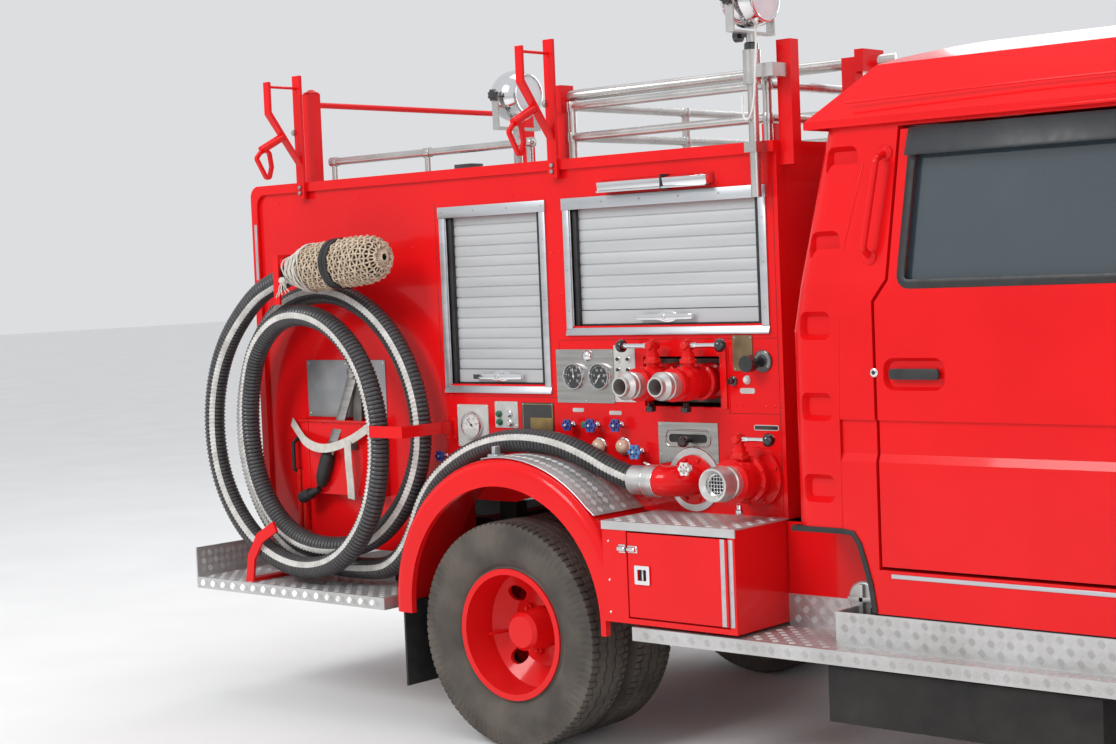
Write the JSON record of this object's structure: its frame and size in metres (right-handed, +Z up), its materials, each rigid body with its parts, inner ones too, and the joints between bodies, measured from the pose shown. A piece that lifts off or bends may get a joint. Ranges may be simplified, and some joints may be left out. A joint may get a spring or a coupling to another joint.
{
  "type": "crew-cab light fire truck",
  "caption": "Light fire truck with a raised-roof crew cab, pump panel, roller shutters, coiled suction hose, treads, roof rails and lamps.",
  "frame": {"origin": "on the ground, in the middle of the truck's length and width", "axes": "+X forward, +Y to the truck's left, +Z up"},
  "size_m": [5.44, 2.16, 2.433],
  "materials": {
    "red_paint": "glossy coach paint",
    "chassis_black": "satin chassis black",
    "cast_metal": "as cast, dusty",
    "tyre": "dusty black rubber",
    "cab_glass": "tinted",
    "seat_vinyl": "grained vinyl",
    "cab_plastic": "grained",
    "lamp_lens": "clear and coloured lenses",
    "beacon_lens": "red lens",
    "shutter_aluminium": "satin anodised",
    "panel_steel": "brushed",
    "gauge_face": "black dials with chromed bezels",
    "coupling_alloy": "machined",
    "handle_steel": "bright",
    "hose_rubber": "ribbed",
    "wicker": "woven cane",
    "tread_plate": "chequered",
    "stainless": "satin",
    "chrome_lamp": "polished"
  },
  "bodies": {
    "truck": {"chassis_frame": "chassis_black", "power_train": "cast_metal", "rear_axle": "chassis_black", "front_axle": "chassis_black", "leaf_springs": "chassis_black", "cab_shell": "red_paint", "cab_roof": "red_paint", "cab_glass": "cab_glass", "seats": "seat_vinyl", "dashboard": "cab_plastic", "bumper": "red_paint", "grille": "cab_plastic", "lamps": "lamp_lens", "mirrors": "cab_plastic", "beacon_bar": "beacon_lens", "equipment_body": "red_paint", "shutters": "shutter_aluminium", "panel_plates": "panel_steel", "pump": "cast_metal", "gauges": "gauge_face", "valve_bodies": "red_paint", "couplings": "coupling_alloy", "valve_handles": "handle_steel", "suction_hoses": "hose_rubber", "strainer_baskets": "wicker", "hose_brackets": "red_paint", "fenders": "red_paint", "step_boxes": "red_paint", "treads": "tread_plate", "mud_flaps": "hose_rubber", "roof_rails": "stainless", "roof_holders": "red_paint", "lamp_supports": "stainless", "under_tanks": "chassis_black", "exhaust": "cast_metal"},
    "rear_wheel_right": {"rear_tyres_right": "tyre", "rear_rims_right": "red_paint"},
    "front_wheel_right": {"front_tyre_right": "tyre", "front_rim_right": "red_paint"},
    "steer_right": {"knuckle_right": "chassis_black"},
    "cab_door_rear_right": {"door_rear_right": "red_paint", "door_glass_rear_right": "cab_glass"},
    "cab_door_front_right": {"door_front_right": "red_paint", "door_glass_front_right": "cab_glass"},
    "locker_right": {"locker_door_right": "red_paint"},
    "rear_wheel_left": {"rear_tyres_left": "tyre", "rear_rims_left": "red_paint"},
    "front_wheel_left": {"front_tyre_left": "tyre", "front_rim_left": "red_paint"},
    "steer_left": {"knuckle_left": "chassis_black"},
    "cab_door_rear_left": {"door_rear_left": "red_paint", "door_glass_rear_left": "cab_glass"},
    "cab_door_front_left": {"door_front_left": "red_paint", "door_glass_front_left": "cab_glass"},
    "locker_left": {"locker_door_left": "red_paint"},
    "steering": {"steering_wheel": "cab_plastic"},
    "flood_pan": {"floodlight_yoke": "stainless"},
    "flood_head": {"floodlight": "chrome_lamp"},
    "search_head": {"searchlight": "chrome_lamp"}
  },
  "joints": [
    {"name": "rear_wheel_right_spin", "type": "hinge", "parent": "truck", "child": "rear_wheel_right", "pos_m": [-1.16, 0, 0.374], "axis": [0, 1, 0], "continuous": true},
    {"name": "steer_right_turn", "type": "hinge", "parent": "truck", "child": "steer_right", "pos_m": [1.64, -0.6, 0.374], "axis": [0, 0, 1], "range_deg": [-33, 33]},
    {"name": "front_wheel_right_spin", "type": "hinge", "parent": "steer_right", "child": "front_wheel_right", "pos_m": [1.64, -0.695, 0.374], "axis": [0, 1, 0], "continuous": true},
    {"name": "cab_door_rear_right_swing", "type": "hinge", "parent": "truck", "child": "cab_door_rear_right", "pos_m": [1.071, -0.85, 1.3], "axis": [0, 0, 1], "range_deg": [0, 70]},
    {"name": "cab_door_front_right_swing", "type": "hinge", "parent": "truck", "child": "cab_door_front_right", "pos_m": [2.313, -0.85, 1.3], "axis": [0, 0, 1], "range_deg": [0, 70]},
    {"name": "locker_right_swing", "type": "hinge", "parent": "truck", "child": "locker_right", "pos_m": [-0.224, -0.933, 0.622], "axis": [0, 0, 1], "range_deg": [0, 110]},
    {"name": "rear_wheel_left_spin", "type": "hinge", "parent": "truck", "child": "rear_wheel_left", "pos_m": [-1.16, 0, 0.374], "axis": [0, 1, 0], "continuous": true},
    {"name": "steer_left_turn", "type": "hinge", "parent": "truck", "child": "steer_left", "pos_m": [1.64, 0.6, 0.374], "axis": [0, 0, 1], "range_deg": [-33, 33]},
    {"name": "front_wheel_left_spin", "type": "hinge", "parent": "steer_left", "child": "front_wheel_left", "pos_m": [1.64, 0.695, 0.374], "axis": [0, 1, 0], "continuous": true},
    {"name": "cab_door_rear_left_swing", "type": "hinge", "parent": "truck", "child": "cab_door_rear_left", "pos_m": [1.071, 0.85, 1.3], "axis": [0, 0, -1], "range_deg": [0, 70]},
    {"name": "cab_door_front_left_swing", "type": "hinge", "parent": "truck", "child": "cab_door_front_left", "pos_m": [2.313, 0.85, 1.3], "axis": [0, 0, -1], "range_deg": [0, 70]},
    {"name": "locker_left_swing", "type": "hinge", "parent": "truck", "child": "locker_left", "pos_m": [-0.224, 0.933, 0.622], "axis": [0, 0, -1], "range_deg": [0, 110]},
    {"name": "steering_turn", "type": "hinge", "parent": "truck", "child": "steering", "pos_m": [2.13, -0.4, 1.33], "axis": [-0.8107, 0, 0.5855], "range_deg": [-594, 594]},
    {"name": "flood_pan_turn", "type": "hinge", "parent": "truck", "child": "flood_pan", "pos_m": [-0.235, -0.7, 2.24], "axis": [0, 0, 1], "range_deg": [-170, 170]},
    {"name": "flood_tilt", "type": "hinge", "parent": "flood_pan", "child": "flood_head", "pos_m": [-0.235, -0.7, 2.345], "axis": [0, 1, 0], "range_deg": [-25, 25]},
    {"name": "search_tilt", "type": "hinge", "parent": "truck", "child": "search_head", "pos_m": [-1.56, -0.3, 2.19], "axis": [0, 1, 0], "range_deg": [-30, 30]}
  ],
  "couplings": [
    {"joint": "steer_left_turn", "follows": "steer_right_turn", "ratio": 1},
    {"joint": "steering_turn", "follows": "steer_right_turn", "ratio": 18}
  ]
}
